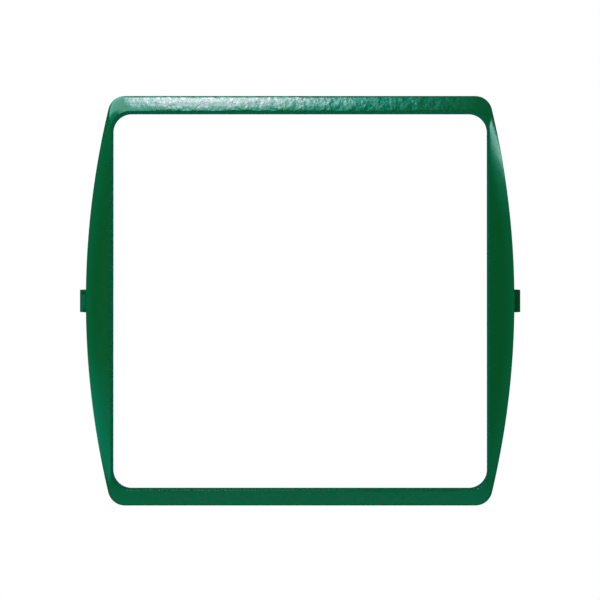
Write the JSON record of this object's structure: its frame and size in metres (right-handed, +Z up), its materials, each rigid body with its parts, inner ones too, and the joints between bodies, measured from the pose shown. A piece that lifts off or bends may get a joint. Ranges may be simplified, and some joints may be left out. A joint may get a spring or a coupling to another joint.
{
  "type": "wall switch trim frame",
  "caption": "Square plastic trim ring with a crowned front, bowed flanks and a snap lug on a flexing tongue at each side, to frame a switch's centre plate.",
  "frame": {"origin": "centre of the window, on the plane of the rear rim", "axes": "+X to the right across the window, +Y from the front to the rear, +Z up as installed"},
  "size_m": [0.065, 0.008, 0.06],
  "materials": {
    "green_plastic": "fine spark-eroded mould grain, satin"
  },
  "bodies": {
    "frame": {"trim_frame": "green_plastic"},
    "left_tongue": {"left_snap_tongue": "green_plastic"},
    "right_tongue": {"right_snap_tongue": "green_plastic"}
  },
  "joints": [
    {"name": "left_snap_flex", "type": "hinge", "parent": "frame", "child": "left_tongue", "pos_m": [-0.031, -0.00519, 0], "axis": [0, 0, -1], "range_deg": [0, 12], "stiffness_Nm_per_rad": 0.32},
    {"name": "right_snap_flex", "type": "hinge", "parent": "frame", "child": "right_tongue", "pos_m": [0.031, -0.00519, 0], "axis": [0, 0, 1], "range_deg": [0, 12], "stiffness_Nm_per_rad": 0.32}
  ]
}
